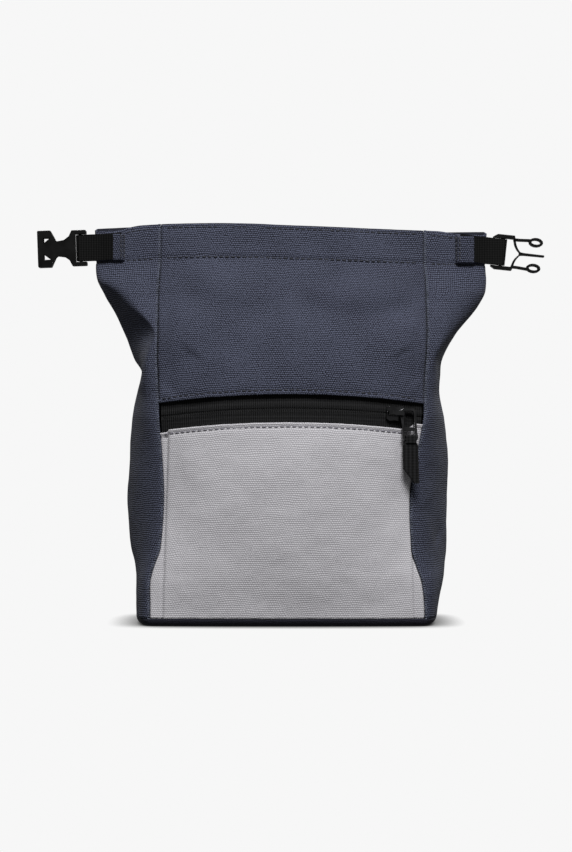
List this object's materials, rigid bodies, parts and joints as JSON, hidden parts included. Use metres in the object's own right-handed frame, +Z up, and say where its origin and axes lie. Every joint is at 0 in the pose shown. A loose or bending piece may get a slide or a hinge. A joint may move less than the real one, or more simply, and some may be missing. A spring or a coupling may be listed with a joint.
{
  "type": "climbing chalk bag",
  "caption": "Roll-top chalk bag on a flat base: zipped front pocket, tapering walls, flat mouth with folded ears, webbing tabs and a side-release buckle.",
  "frame": {"origin": "centre of the base's flat underside, on the surface that the bag stands on", "axes": "+X runs along the mouth towards the prong half of the buckle, +Z points up, and the pocket faces -Y"},
  "size_m": [0.3015, 0.1126, 0.2356],
  "materials": {
    "navy_fabric": "coarse plain weave",
    "base_fabric": "coarse plain weave",
    "light_fabric": "coarse plain weave",
    "liner_fabric": "fine plain weave",
    "zip_tape": "knitted tape with a nylon coil",
    "zip_metal": "satin black",
    "pull_fabric": "folded ribbon",
    "webbing": "ribbed flat webbing",
    "buckle_plastic": "moulded acetal with a faint sheen"
  },
  "bodies": {
    "root": {"base_panel": "base_fabric", "back_panel": "navy_fabric", "side_panel_left": "navy_fabric", "side_panel_right": "navy_fabric", "front_upper_panel": "navy_fabric", "pocket_panel": "light_fabric", "pocket_liner": "liner_fabric", "zipper_tape_upper": "zip_tape", "zipper_tape_lower": "zip_tape", "zipper_coil": "zip_tape", "zipper_slider": "zip_metal", "pull_link": "zip_metal", "pull_tab": "pull_fabric", "webbing_tab_left": "webbing", "webbing_tab_right": "webbing", "buckle_socket_half": "buckle_plastic", "buckle_prong_half": "buckle_plastic"}
  },
  "joints": []
}
